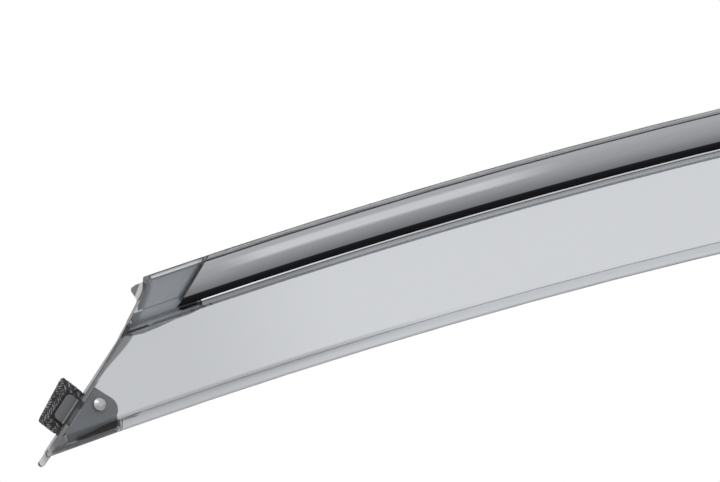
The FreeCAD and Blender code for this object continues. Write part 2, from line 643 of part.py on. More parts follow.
def build_trim():
    """The crowned stainless strip, folded from sheet."""
    body = add_body("trim_strip")
    sweep_section(body, "trim_form", [
        ("seat_depth", "trim_top_z"),
        ("trim_edge_depth", "trim_top_z"),
        ("band_crown_depth", "band_crown_z", "band_crown_round"),
        ("band_low_depth", "band_low_z", "band_low_round"),
        ("seat_depth", "band_low_z"),
        ("seat_depth", "trim_in_low_z"),
        ("trim_in_low_depth", "trim_in_low_z", "trim_in_low_round"),
        ("trim_in_crown_depth", "band_crown_z", "trim_in_crown_round"),
        ("trim_in_edge_depth", "trim_in_top_z"),
        ("seat_depth", "trim_in_top_z"),
    ], "arch_centre_z")
    cut_beyond(body, "trim_rear_end", "trim_rear", "-")
    cut_beyond(body, "trim_front_end", "trim_front", "")
    return body


def build_trim_tape():
    """The foam tape that holds the trim in its seat."""
    body = add_body("trim_tape")
    sweep_section(body, "core_form", [
        ("core_back_depth", "core_top_z"),
        ("core_depth", "core_top_z"),
        ("core_depth", "core_low_z"),
        ("core_back_depth", "core_low_z"),
    ], "arch_centre_z")
    cut_beyond(body, "core_rear_end", "core_rear", "-")
    cut_beyond(body, "core_front_end", "core_front", "")
    return body


def build_tape():
    """The foam tape that holds the deflector on the door."""
    body = add_body("mounting_tape")
    sweep_section(body, "tape_form", [
        ("liner_thick", "tape_top_z"),
        ("tape_depth", "tape_top_z"),
        ("tape_depth", "tape_low_z"),
        ("liner_thick", "tape_low_z"),
    ], "arch_centre_z")
    cut_square(body, "tape_rear_end", "-tape_rear_x", "-")
    cut_square(body, "tape_front_end", "tape_front_x", "")
    pad_front(body, "free_end", [
        ("tab_root_top_x", "tab_root_top_z"),
        ("tab_corner_x", "tab_corner_z", "tab_round"),
        ("tab_low_x", "tab_low_z"),
        ("tab_foot_x", "tab_foot_z"),
        ("tab_root_foot_x", "tab_root_foot_z"),
    ], "liner_thick", "tape_depth")
    return body


def build_liner():
    """The release film on the tape, with a free end to pull."""
    body = add_body("tape_liner")
    sweep_section(body, "liner_form", [
        ("zero", "liner_top_z"),
        ("liner_thick", "liner_top_z"),
        ("liner_thick", "liner_low_z"),
        ("zero", "liner_low_z"),
    ], "arch_centre_z")
    cut_square(body, "liner_rear_end", "-tape_rear_x", "-")
    cut_square(body, "liner_front_end", "liner_front_x", "")
    return body


def build_patch():
    """The short second strip of tape under the rear end cap, cut by hand."""
    body = add_body("rear_tape")
    edge = [(f"patch_edge{index}_x", f"patch_edge{index}_z") for index in range(len(PATCH_EDGE))]
    top = [("patch_top_rear_x", "patch_top_rear_z"), ("patch_top_front_x", "patch_top_front_z")]
    pad_front(body, "patch", top + edge, "liner_thick", "tape_depth")
    return body


def build_clip():
    """The folded sheet-metal clip: plate, lower fold, joggle and tongue."""
    body = add_body("end_clip")
    sweep_section(body, "fold", [
        ("fold_back_depth", "fold_floor_z"),
        ("plate_depth", "fold_floor_z", "fold_round"),
        ("plate_depth", "fold_roof_z"),
        ("plate_back_depth", "fold_roof_z"),
        ("plate_back_depth", "fold_inner_z", "fold_inner_round"),
        ("fold_back_depth", "fold_inner_z"),
    ], "lower_centre_z", offset="-lower_shift")
    cut_square(body, "fold_rear_end", "-fold_rear_x", "-")
    cut_square(body, "fold_front_end", "-fold_front_x", "")
    pad_front(body, "plate", [
        ("plate_root_x", "plate_root_z"),
        ("plate_nose_x", "plate_nose_z", "plate_nose_round"),
        ("plate_heel_x", "plate_heel_z"),
        ("plate_toe_x", "plate_toe_z"),
        ("plate_tail_x", "plate_tail_z"),
    ], "plate_back_depth", "plate_depth")
    pad_front(body, "joggle", [
        ("joggle_high_x", "joggle_high_z"),
        ("joggle_low_x", "joggle_low_z"),
        ("tongue_low_root_x", "tongue_low_root_z"),
        ("tongue_high_root_x", "tongue_high_root_z"),
    ], "tongue_back_depth", "plate_depth")
    pad_front(body, "tongue", [
        ("tongue_high_root_x", "tongue_high_root_z"),
        ("tongue_high_x", "tongue_high_z", "tongue_round"),
        ("tongue_low_x", "tongue_low_z", "tongue_round"),
        ("tongue_low_root_x", "tongue_low_root_z"),
    ], "tongue_back_depth", "tongue_front_depth")
    cut_front(body, "rivet_hole", circle=("rivet_x", "rivet_z", "rivet_hole_radius"))
    return body


def build_pad():
    """The sponge pad stuck to the back of the tongue."""
    body = add_body("clip_pad")
    pad_front(body, "sponge", [
        ("pad_high_root_x", "pad_high_root_z", "pad_round"),
        ("pad_high_x", "pad_high_z", "pad_round"),
        ("pad_low_x", "pad_low_z", "pad_round"),
        ("pad_low_root_x", "pad_low_root_z", "pad_round"),
    ], "pad_clear", "tongue_back_depth")
    return body


def build_rivet():
    """The domed rivet through the shell and the clip, closed behind the plate."""
    body = add_body("clip_rivet")
    sketch = add_sketch(body, "rivet_section", "YZ_Plane")
    profile = [
        ("rivet_top_depth", "zero"),
        ("rivet_top_depth", "rivet_dome_radius"),
        ("rivet_rim_depth", "rivet_head_radius"),
        ("body_depth", "rivet_head_radius"),
        ("body_depth", "rivet_shank_radius"),
        ("plate_back_depth", "rivet_shank_radius"),
        ("plate_back_depth", "rivet_tail_radius"),
        ("rivet_tail_depth", "rivet_tail_radius"),
        ("rivet_tail_depth", "zero"),
    ]
    draw_outline(sketch, [(f"-{depth}", radius) for depth, radius in profile])
    turned = body.newObject("PartDesign::Revolution", "rivet_form")
    turned.Profile = sketch
    turned.ReferenceAxis = (sketch, ["H_Axis"])
    turned.Angle = 360
    body.setExpression("Placement.Base.x", "Sizes.rivet_x")
    body.setExpression("Placement.Base.z", "Sizes.rivet_z")
    return body


def check(pieces):
    """Stops if any feature failed or any piece isn't one sound solid."""
    for item in doc.Objects:
        if {"Invalid", "Error"} & set(item.State):
            raise RuntimeError(f"{item.Label} failed: {item.State}")
    for piece in pieces:
        shape = piece.Shape
        if shape.isNull() or not shape.isValid() or shape.Volume <= 0:
            raise RuntimeError(f"{piece.Label} is not a sound solid")


def export(pieces):
    """Writes one file per piece, named after it."""
    os.makedirs("parts", exist_ok=True)
    for piece in pieces:
        piece.Shape.exportStep(f"parts/{piece.Label}.step")
        box = piece.Shape.BoundBox
        print(f"{piece.Label}: {len(piece.Shape.Solids)} solid, {piece.Shape.Volume:.0f} mm3, {box}")


fill_sheet()
PIECES = [
    build_shell(),
    build_trim(),
    build_trim_tape(),
    build_tape(),
    build_liner(),
    build_patch(),
    build_clip(),
    build_pad(),
    build_rivet(),
]
doc.recompute()
check(PIECES)
export(PIECES)
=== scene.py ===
import logging
from dataclasses import dataclass
from enum import Enum
from math import cos, pi, radians, sin
from typing import Any, Union

import bpy
import numpy as np
from mathutils import Matrix, Vector


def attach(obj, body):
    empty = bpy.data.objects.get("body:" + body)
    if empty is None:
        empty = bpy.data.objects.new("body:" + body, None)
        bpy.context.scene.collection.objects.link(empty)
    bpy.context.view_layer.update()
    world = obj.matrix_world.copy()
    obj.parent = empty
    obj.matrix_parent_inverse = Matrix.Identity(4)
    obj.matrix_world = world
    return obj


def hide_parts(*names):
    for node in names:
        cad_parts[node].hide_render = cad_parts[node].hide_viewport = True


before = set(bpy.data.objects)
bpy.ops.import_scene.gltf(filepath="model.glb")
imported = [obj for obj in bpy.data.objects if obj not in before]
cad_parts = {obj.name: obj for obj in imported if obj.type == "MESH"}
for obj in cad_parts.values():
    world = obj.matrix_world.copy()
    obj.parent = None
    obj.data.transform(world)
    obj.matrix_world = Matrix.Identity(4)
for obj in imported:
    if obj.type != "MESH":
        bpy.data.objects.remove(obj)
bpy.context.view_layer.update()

log = logging.getLogger("rain_deflector")

MM = 0.001
Socket = bpy.types.NodeSocket
Source = Union[Socket, float]
Colour = tuple[float, float, float]


class Maths(Enum):
    """Arithmetic that a shader tree does on two values."""

    ADD = "ADD"
    LESS = "SUBTRACT"
    TIMES = "MULTIPLY"
    ROOT = "SQRT"
    ANGLE = "ARCTAN2"
    LARGER = "MAXIMUM"


class Grain(Enum):
    """Direction in which a metal surface was finished: stretch along, out and up."""

    ROLLED = (6.0, 60.0, 900.0)
    CAST = (420.0, 420.0, 420.0)
    TURNED = (700.0, 120.0, 700.0)


class Ruler(Enum):
    """Distance that a patch of painted light and shade on the smoke is measured by, in millimetres."""

    TOP = "above the middle of the mounting tape"
    BOTTOM = "above the bottom edge"
    REAR = "inside the slanted rear end"
    STRIP = "behind the slanted rear end of the trim"


@dataclass(frozen=True)
class PartLines:
    """Lines of the part that the looks are measured from, in millimetres and degrees.

    The bottom is the centre X, centre Z and radius of the arch along the bottom edge.
    """

    arch_radius: float = 3835.0
    bottom: tuple[float, float, float] = (-42.7, -3604.3, 3541.6)
    knee: tuple[float, float] = (-352.3, -27.2)
    slope_below: float = 40.0
    slope_above: float = 52.5
    strip_start: tuple[float, float] = (-302.6, -4.9)
    strip_slope: float = 41.8


LINES = PartLines()


@dataclass(frozen=True)
class PaintedLightZone:
    """A patch of painted light or shade on the smoke: its stretch along X and its span on a ruler.

    The flare widens the span from the rear end of the stretch to its front end.
    """

    ruler: Ruler
    along: tuple[float, float]
    across: tuple[float, float]
    tint_and_painted_light: float
    soft: float = 0.3
    fade: float = 0.5
    flare: float = 0.0


class Shading:
    """Nodes and links of one shader tree."""

    def __init__(self, tree: bpy.types.NodeTree) -> None:
        """Keeps the tree that the nodes go into."""
        self.tree = tree

    def node(self, kind: str, **settings: Any) -> bpy.types.Node:
        """Adds one node.

        Args:
            kind: Blender's name of the node's type, without its prefix.
            settings: values of the node's own properties.

        Returns:
            The new node.
        """
        made = self.tree.nodes.new(f"ShaderNode{kind}")
        for name, value in settings.items():
            setattr(made, name, value)
        return made

    def feed(self, target: Socket, source: Any) -> None:
        """Links a socket to its source, or sets its plain value."""
        if isinstance(source, bpy.types.NodeSocket):
            self.tree.links.new(source, target)
        else:
            target.default_value = source

    def sum(self, kind: Maths, first: Source, second: Source = 0.0) -> Socket:
        """Does one piece of arithmetic and gives its result."""
        made = self.node("Math", operation=kind.value)
        self.feed(made.inputs[0], first)
        self.feed(made.inputs[1], second)
        return made.outputs[0]

    def blend(self, share: Source, first: Any, second: Any) -> Socket:
        """Mixes two colours by a share from 0 to 1."""
        made = self.node("Mix", data_type="RGBA")
        self.feed(made.inputs["Factor"], share)
        self.feed(made.inputs["A"], first)
        self.feed(made.inputs["B"], second)
        return made.outputs["Result"]

    def spread(self, value: Socket, low: float, high: float, start: float, end: float) -> Socket:
        """Carries a value's range from low..high over to start..end, smoothly."""
        made = self.node("MapRange", interpolation_type="SMOOTHSTEP")
        for slot, source in enumerate((value, low, high, start, end)):
            self.feed(made.inputs[slot], source)
        return made.outputs[0]

    def within(self, value: Socket, low: float, high: Source, soft: float) -> Socket:
        """Gives 1 between two borders and 0 outside them, with soft steps at the borders."""
        rise = self.spread(self.sum(Maths.LESS, value, low), -soft, soft, 0.0, 1.0)
        fall = self.spread(self.sum(Maths.LESS, value, high), -soft, soft, 1.0, 0.0)
        return self.sum(Maths.TIMES, rise, fall)

    def split(self, place: Socket) -> tuple[Socket, Socket, Socket]:
        """Takes a place apart into X, Y and Z."""
        made = self.node("SeparateXYZ")
        self.feed(made.inputs[0], place)
        return made.outputs[0], made.outputs[1], made.outputs[2]

    def reach(self, first: Socket, second: Socket) -> Socket:
        """Gives the root of the sum of two squares."""
        squares = [self.sum(Maths.TIMES, side, side) for side in (first, second)]
        return self.sum(Maths.ROOT, self.sum(Maths.ADD, *squares))

    def darken(self, colour: Socket, level: Socket) -> Socket:
        """Multiplies a colour by a level."""
        made = self.node("Mix", data_type="RGBA", blend_type="MULTIPLY")
        made.inputs["Factor"].default_value = 1.0
        self.feed(made.inputs["A"], colour)
        self.feed(made.inputs["B"], level)
        return made.outputs["Result"]

    def lean(self, place: Socket, start: tuple[float, float], slope: float) -> Socket:
        """Measures how far a place lies inside a straight line that slopes in the XZ plane.

        Args:
            place: the place, in metres.
            start: X and Z of a point on the line, in millimetres.
            slope: the line's slope, in degrees.

        Returns:
            (X - start X) sin(slope) - (Z - start Z) cos(slope), in metres.
        """
        across = Vector((sin(radians(slope)), 0.0, -cos(radians(slope))))
        dot = self.node("VectorMath", operation="DOT_PRODUCT")
        self.feed(dot.inputs[0], place)
        dot.inputs[1].default_value = across
        return self.sum(Maths.LESS, dot.outputs["Value"], (across.x * start[0] + across.z * start[1]) * MM)

    def ramp(self, value: Socket, stops: list[tuple[float, Colour]]) -> Socket:
        """Turns a value into a colour by named stops."""
        made = self.node("ValToRGB")
        bar = made.color_ramp
        while len(bar.elements) < len(stops):
            bar.elements.new(0.5)
        for element, (place, colour) in zip(bar.elements, stops):
            element.position = place
            element.color = (*colour, 1.0)
        self.feed(made.inputs[0], value)
        return made.outputs[0]

    def noise(self, place: Socket, scale: float, detail: float) -> Socket:
        """Gives a cloudy value between 0 and 1."""
        made = self.node("TexNoise")
        self.feed(made.inputs["Vector"], place)
        made.inputs["Scale"].default_value = scale
        made.inputs["Detail"].default_value = detail
        return made.outputs[0]

    def bump(self, height: Socket, strength: float, depth: float) -> Socket:
        """Turns a height into a bent normal."""
        made = self.node("Bump")
        made.inputs["Strength"].default_value = strength
        made.inputs["Distance"].default_value = depth
        self.feed(made.inputs["Height"], height)
        return made.outputs[0]

    def group(self, name: str, **inputs: Any) -> bpy.types.Node:
        """Places a shared node group and feeds its named inputs."""
        made = self.node("Group", node_tree=bpy.data.node_groups[name])
        for key, source in inputs.items():
            self.feed(made.inputs[key], source)
        return made


class SharedEffects:
    """Shader groups that several finishes use."""

    ARCH = "arch_place"
    RULERS = "part_rulers"
    GRAIN = "metal_grain"
    PORES = "open_pores"
    DUST = "dust_film"

    def __init__(self, lines: PartLines) -> None:
        """Keeps the lines that the rulers start from."""
        self.lines = lines
        self.arch_radius = lines.arch_radius * MM

    def start(self, name: str, inputs: dict[str, str], outputs: dict[str, str]) -> Shading:
        """Opens a group with named sockets.

        Args:
            name: the group's name.
            inputs: socket names and their kinds, such as Float or Vector.
            outputs: the same for what the group puts out.

        Returns:
            The group's tree, with its two end nodes under the names inlet and outlet.
        """
        tree = bpy.data.node_groups.new(name, "ShaderNodeTree")
        for direction, sockets in (("INPUT", inputs), ("OUTPUT", outputs)):
            for key, kind in sockets.items():
                tree.interface.new_socket(key, in_out=direction, socket_type=f"NodeSocket{kind}")
        tree.nodes.new("NodeGroupInput").name = "inlet"
        tree.nodes.new("NodeGroupOutput").name = "outlet"
        return Shading(tree)

    def build_arch(self) -> None:
        """Unrolls the arch: places along it, out from the door and above the tape's middle.

        Height is the distance from the arch's centre less its radius, and Along is the angle
        about that centre times the radius.
        """
        shade = self.start(self.ARCH, {"Place": "Vector"}, {"Unrolled": "Vector", "Height": "Float"})
        inlet, outlet = shade.tree.nodes["inlet"], shade.tree.nodes["outlet"]
        x, y, z = shade.split(inlet.outputs["Place"])
        rise = shade.sum(Maths.ADD, z, self.arch_radius)
        height = shade.sum(Maths.LESS, shade.reach(x, rise), self.arch_radius)
        turn = shade.sum(Maths.ANGLE, x, rise)
        joined = shade.node("CombineXYZ")
        shade.feed(joined.inputs[0], shade.sum(Maths.TIMES, turn, self.arch_radius))
        shade.feed(joined.inputs[1], y)
        shade.feed(joined.inputs[2], height)
        shade.feed(outlet.inputs["Unrolled"], joined.outputs[0])
        shade.feed(outlet.inputs["Height"], height)

    def build_rulers(self) -> None:
        """Measures a place by each ruler, and along X.

        The two arches give the distance from their centre less their radius. The rear end is
        the larger of the distances from its two straight lines, above and below its knee.
        """
        shade = self.start(self.RULERS, {"Place": "Vector"},
                           {"ALONG": "Float", **{ruler.name: "Float" for ruler in Ruler}})
        inlet, outlet = shade.tree.nodes["inlet"], shade.tree.nodes["outlet"]
        place = inlet.outputs["Place"]
        x, _, z = shade.split(place)
        shade.feed(outlet.inputs["ALONG"], x)
        top = (0.0, -self.lines.arch_radius, self.lines.arch_radius)
        for ruler, (centre_x, centre_z, radius) in ((Ruler.TOP, top), (Ruler.BOTTOM, self.lines.bottom)):
            sides = shade.sum(Maths.LESS, x, centre_x * MM), shade.sum(Maths.LESS, z, centre_z * MM)
            height = shade.sum(Maths.LESS, shade.reach(*sides), radius * MM)
            shade.feed(outlet.inputs[ruler.name], height)
        slopes = (self.lines.slope_below, self.lines.slope_above)
        inside = [shade.lean(place, self.lines.knee, slope) for slope in slopes]
        shade.feed(outlet.inputs[Ruler.REAR.name], shade.sum(Maths.LARGER, *inside))
        strip = shade.lean(place, self.lines.strip_start, self.lines.strip_slope)
        shade.feed(outlet.inputs[Ruler.STRIP.name], shade.sum(Maths.TIMES, strip, -1.0))

    def build_grain(self) -> None:
        """Drawn-out scratches and softer clouds between them, from one stretched noise."""
        shade = self.start(self.GRAIN, {"Place": "Vector", "Stretch": "Vector"},
                           {"Scratches": "Float", "Clouds": "Float"})
        inlet, outlet = shade.tree.nodes["inlet"], shade.tree.nodes["outlet"]
        drawn = shade.node("VectorMath", operation="MULTIPLY")
        shade.feed(drawn.inputs[0], inlet.outputs["Place"])
        shade.feed(drawn.inputs[1], inlet.outputs["Stretch"])
        shade.feed(outlet.inputs["Scratches"], shade.noise(drawn.outputs[0], 3.0, 5.0))
        shade.feed(outlet.inputs["Clouds"], shade.noise(inlet.outputs["Place"], 45.0, 2.0))

    def build_pores(self) -> None:
        """Round cells of two sizes, dark and deep at their middles."""
        shade = self.start(self.PORES, {"Place": "Vector", "Scale": "Float"},
                           {"Height": "Float", "Shade": "Float"})
        inlet, outlet = shade.tree.nodes["inlet"], shade.tree.nodes["outlet"]
        heights = []
        for share in (1.0, 2.7):
            cells = shade.node("TexVoronoi", feature="F1")
            shade.feed(cells.inputs["Vector"], inlet.outputs["Place"])
            shade.feed(cells.inputs["Scale"], shade.sum(Maths.TIMES, inlet.outputs["Scale"], share))
            heights.append(shade.spread(cells.outputs["Distance"], 0.1, 0.6, 0.0, 1.0))
        depth = shade.sum(Maths.TIMES, *heights)
        shade.feed(outlet.inputs["Height"], depth)
        shade.feed(outlet.inputs["Shade"], shade.spread(depth, 0.0, 1.0, 0.0, 1.0))

    def build_dust(self) -> None:
        """A thin uneven film: broad clouds broken up by fine specks."""
        shade = self.start(self.DUST, {"Place": "Vector"}, {"Film": "Float"})
        inlet, outlet = shade.tree.nodes["inlet"], shade.tree.nodes["outlet"]
        broad = shade.noise(inlet.outputs["Place"], 18.0, 2.0)
        fine = shade.spread(shade.noise(inlet.outputs["Place"], 1400.0, 2.0), 0.55, 0.8, 0.0, 1.0)
        shade.feed(outlet.inputs["Film"], shade.sum(Maths.TIMES, broad, fine))

    def build(self) -> None:
        """Builds every shared group once."""
        self.build_arch()
        self.build_rulers()
        self.build_grain()
        self.build_pores()
        self.build_dust()


@dataclass(frozen=True)
class Finish:
    """What every finish has: its name and the look of its surface."""

    name: str

    def make(self) -> bpy.types.Material:
        """Gives the finish's material, which is built at its first use."""
        material = bpy.data.materials.get(self.name)
        if material is None:
            material = bpy.data.materials.new(self.name)
            material.use_nodes = True
            shade = Shading(material.node_tree)
            place = shade.node("TexCoord").outputs["Object"]
            self.dress(shade, material.node_tree.nodes["Principled BSDF"], place)
        return material

    def dress(self, shade: Shading, surface: bpy.types.Node, place: Socket) -> None:
        """Lays out the finish's own nodes."""
        raise NotImplementedError(self.name)


@dataclass(frozen=True)
class SmokedAcrylic(Finish):
    """Clear grey moulded acrylic with painted shade along its edges, steps and folds and a few painted
    highlights.
    """

    clear: Colour = (0.965, 0.985, 1.02)
    deep: Colour = (0.95, 0.97, 1.0)
    # the smoke's own grey level, darker towards the rear end than towards the front
    rear_tint: float = 0.61
    front_tint: float = 0.72
    tint_span: tuple[float, float] = (-340 * MM, -230 * MM)
    absorbed: Colour = (0.55, 0.57, 0.60)
    density: float = 110.0
    ior: float = 1.49
    # each patch paints light or shade onto the smoke: a level below the plain one is painted shade, a level
    # above it is a painted highlight
    painted_light_zones: tuple[PaintedLightZone, ...] = (
        # painted shade on the shoulder under the trim, and a painted highlight line along the trim's foot
        PaintedLightZone(Ruler.TOP, (-311.5, 400), (-14.8, -11.8), 0.38, soft=0.9),
        PaintedLightZone(Ruler.TOP, (-345, -240), (-15.0, -11.8), 0.28, soft=0.6, fade=30.0),
        PaintedLightZone(Ruler.TOP, (-311.5, 400), (-12.3, -11.7), 0.1),
        PaintedLightZone(Ruler.TOP, (-380, -250), (-11.7, -10.9), 1.0, fade=60.0),
        # painted highlight on the top edge over the trim, and painted shade on the bead below it
        PaintedLightZone(Ruler.TOP, (-305, 400), (7.6, 9.8), 1.0, soft=0.4),
        PaintedLightZone(Ruler.TOP, (-305, 400), (3.0, 7.0), 0.04, soft=1.3),
        # painted light and shade on the cap and the tape under it, and painted shade in the gap at the
        # trim's end and under its corner
        PaintedLightZone(Ruler.TOP, (-358, -303), (-11.2, 9.5), 1.0),
        PaintedLightZone(Ruler.TOP, (-358, -311.5), (-15.6, -11.0), 0.95, soft=0.8),
        PaintedLightZone(Ruler.TOP, (-350, -322), (-12.6, -9.6), 0.64, soft=1.2),
        PaintedLightZone(Ruler.TOP, (-352, -303), (5.6, 8.2), 0.8, soft=0.3),
        PaintedLightZone(Ruler.TOP, (-352, -303), (8.1, 9.8), 0.08, soft=0.25),
        PaintedLightZone(Ruler.TOP, (320, 352), (-11.2, 9.5), 1.0),
        PaintedLightZone(Ruler.STRIP, (-321, -298), (-0.6, 1.6), 0.5, soft=0.6),
        PaintedLightZone(Ruler.STRIP, (-321, -298), (-0.5, 0.3), 0.02, soft=0.15),
        PaintedLightZone(Ruler.TOP, (-322, -312), (-13.4, -10.6), 0.07, soft=0.5),
        # painted shade above the lower lip, along its bottom edge and round its start
        PaintedLightZone(Ruler.BOTTOM, (-440, -215), (4.6, 7.0), 0.45, soft=0.9, fade=60.0),
        PaintedLightZone(Ruler.BOTTOM, (-372, 400), (-0.5, 0.8), 0.35),
        PaintedLightZone(Ruler.BOTTOM, (-371.5, -361), (5.0, 5.5), 0.05, soft=0.2, fade=2.0),
        PaintedLightZone(Ruler.BOTTOM, (-372.0, -371.2), (0.8, 5.4), 0.05, soft=0.2, fade=0.2),
        # painted shade over the fold behind the point
        PaintedLightZone(Ruler.BOTTOM, (-411, -373.6), (-0.5, 2.4), 0.14),
        PaintedLightZone(Ruler.BOTTOM, (-397, -373.6), (2.4, 3.9), 0.0, flare=1.7, fade=1.2),
        # painted shade along the walls of the rear end
        PaintedLightZone(Ruler.REAR, (-412, -403.0), (-1.0, 8.0), 0.14, soft=1.2),
        PaintedLightZone(Ruler.REAR, (-411, -378), (-1.0, 2.4), 0.2),
        PaintedLightZone(Ruler.REAR, (-399.5, -391.2), (-0.2, 3.0), 0.75, fade=0.6),
        # narrow tail, darker than the body
        PaintedLightZone(Ruler.BOTTOM, (-417, -411), (-20.0, 14.0), 0.4, soft=1.0, fade=2.0),
        # painted shade on the upper part of the rear end
        PaintedLightZone(Ruler.REAR, (-378, -352), (-1.0, 2.0), 0.22, flare=3.2),
        PaintedLightZone(Ruler.REAR, (-352, -334), (-1.0, 4.6), 0.66, soft=1.2),
        PaintedLightZone(Ruler.REAR, (-411, -340), (-1.0, 0.4), 0.03),
    )

    def tint_and_painted_light(self, shade: Shading, place: Socket) -> Socket:
        """Lays the patches of painted light and shade over the plain level, one after the other."""
        rulers = shade.group(SharedEffects.RULERS, Place=place).outputs
        along = rulers["ALONG"]
        level = shade.spread(along, *self.tint_span, self.rear_tint, self.front_tint)
        for zone in self.painted_light_zones:
            near, far = (edge * MM for edge in zone.along)
            top: Source = zone.across[1] * MM
            if zone.flare:
                top = shade.spread(along, near, far, top, (zone.across[1] + zone.flare) * MM)
            beside = shade.within(along, near, far, zone.fade * MM)
            above = shade.within(rulers[zone.ruler.name], zone.across[0] * MM, top, zone.soft * MM)
            step = shade.node("Mix", data_type="FLOAT")
            shade.feed(step.inputs["Factor"], shade.sum(Maths.TIMES, beside, above))
            shade.feed(step.inputs["A"], level)
            step.inputs["B"].default_value = zone.tint_and_painted_light
            level = step.outputs["Result"]
        return level

    def dress(self, shade: Shading, surface: bpy.types.Node, place: Socket) -> None:
        """Sets the smoke's own grey with its painted light and shade, the gloss and the faint flow marks of
        the moulding.
        """
        flow = shade.noise(place, 9.0, 2.0)
        dust = shade.group(SharedEffects.DUST, Place=place).outputs["Film"]
        grey = shade.blend(flow, (*self.clear, 1.0), (*self.deep, 1.0))
        shade.feed(surface.inputs["Base Color"], shade.darken(grey, self.tint_and_painted_light(shade, place)))
        shade.feed(surface.inputs["Roughness"], shade.spread(dust, 0.0, 0.7, 0.015, 0.16))
        shade.feed(surface.inputs["Normal"], shade.bump(flow, 0.05, 0.4 * MM))
        surface.inputs["Transmission Weight"].default_value = 1.0
        surface.inputs["IOR"].default_value = self.ior
        haze = shade.node("VolumeAbsorption")
        haze.inputs["Color"].default_value = (*self.absorbed, 1.0)
        haze.inputs["Density"].default_value = self.density
        shade.feed(shade.tree.nodes["Material Output"].inputs["Volume"], haze.outputs[0])


@dataclass(frozen=True)
class BrightTrim(Finish):
    """Satin stainless strip with a near-black lower roll, graded over its height by painted reflection, with
    a painted highlight along part of its length.
    """

    low_edge: float = -11.0 * MM
    top_edge: float = 5.9 * MM
    lower_roll_black: Colour = (0.012, 0.012, 0.014)
    lowest: Colour = (0.17, 0.175, 0.185)
    middle: Colour = (0.30, 0.31, 0.325)
    painted_highlight: Colour = (0.56, 0.575, 0.595)
    plain: Colour = (0.37, 0.38, 0.395)
    top: Colour = (0.38, 0.39, 0.405)
    # stretch along X where the painted highlight fades in and out
    highlight_from: tuple[float, float] = (-303 * MM, -265 * MM)
    highlight_to: tuple[float, float] = (-150 * MM, -90 * MM)

    def dress(self, shade: Shading, surface: bpy.types.Node, place: Socket) -> None:
        """Grades the strip over its height by painted reflection, with its painted highlight along part of
        it, and lays the rolled grain on it.
        """
        arch = shade.group(SharedEffects.ARCH, Place=place)
        share = shade.spread(arch.outputs["Height"], self.low_edge, self.top_edge, 0.0, 1.0)
        share.node.interpolation_type = "LINEAR"
        # near black at the lower roll; above it painted reflection, darker low down, with a painted
        # highlight high up on the strip
        foot = [(0.0, self.lower_roll_black), (0.19, self.lower_roll_black), (0.215, self.lowest), (0.56, self.middle)]
        bright = [(0.65, self.painted_highlight), (0.8, self.painted_highlight), (0.88, self.top), (1.0, self.top)]
        highlighted = shade.ramp(share, foot + bright)
        even = shade.ramp(share, foot + [(0.9, self.plain), (1.0, self.top)])
        along = shade.split(arch.outputs["Unrolled"])[0]
        # share of the painted highlight along the strip
        highlight_share = shade.sum(Maths.TIMES, shade.spread(along, *self.highlight_from, 0.0, 1.0),
                             shade.spread(along, *self.highlight_to, 1.0, 0.0))
        grade = shade.blend(highlight_share, even, highlighted)
        grain = shade.group(SharedEffects.GRAIN, Place=arch.outputs["Unrolled"], Stretch=Grain.ROLLED.value)
        worked = shade.spread(grain.outputs["Scratches"], 0.3, 0.7, 0.97, 1.03)
        shade.feed(surface.inputs["Base Color"], shade.darken(grade, worked))
        shade.feed(surface.inputs["Roughness"], shade.spread(grain.outputs["Clouds"], 0.3, 0.7, 0.16, 0.19))
        shade.feed(surface.inputs["Normal"], shade.bump(grain.outputs["Scratches"], 0.05, 0.02 * MM))
        surface.inputs["Metallic"].default_value = 1.0


@dataclass(frozen=True)
class FoamTape(Finish):
    """Closed-cell foam of the adhesive tapes: pale under the smoke, grey at the free end.

    The pale tone under the smoke is painted light: it makes up for the light that the smoke in front of it
    holds back.
    """

    # pale tones under the smoke: painted light
    light: Colour = (0.92, 0.92, 0.92)
    dark: Colour = (0.80, 0.80, 0.80)
    free_light: Colour = (0.27, 0.272, 0.278)
    free_dark: Colour = (0.22, 0.222, 0.228)
    free_end: float = -0.8 * MM
    cells: float = 2600.0

    def dress(self, shade: Shading, surface: bpy.types.Node, place: Socket) -> None:
        """Sinks the cells a little and darkens them."""
        pores = shade.group(SharedEffects.PORES, Place=place, Scale=self.cells)
        cloud = shade.noise(place, 120.0, 3.0)
        mixed = shade.sum(Maths.TIMES, pores.outputs["Shade"], shade.spread(cloud, 0.2, 0.8, 0.6, 1.0))
        # the covered tape's pale tone, painted light
        covered_painted_light = shade.blend(mixed, (*self.dark, 1.0), (*self.light, 1.0))
        free = shade.blend(mixed, (*self.free_dark, 1.0), (*self.free_light, 1.0))
        rear = shade.group(SharedEffects.RULERS, Place=place).outputs[Ruler.REAR.name]
        covered = shade.spread(rear, self.free_end, 0.0, 0.0, 1.0)
        shade.feed(surface.inputs["Base Color"], shade.blend(covered, free, covered_painted_light))
        shade.feed(surface.inputs["Roughness"], shade.spread(cloud, 0.2, 0.8, 0.62, 0.8))
        shade.feed(surface.inputs["Normal"], shade.bump(pores.outputs["Height"], 0.5, 0.05 * MM))


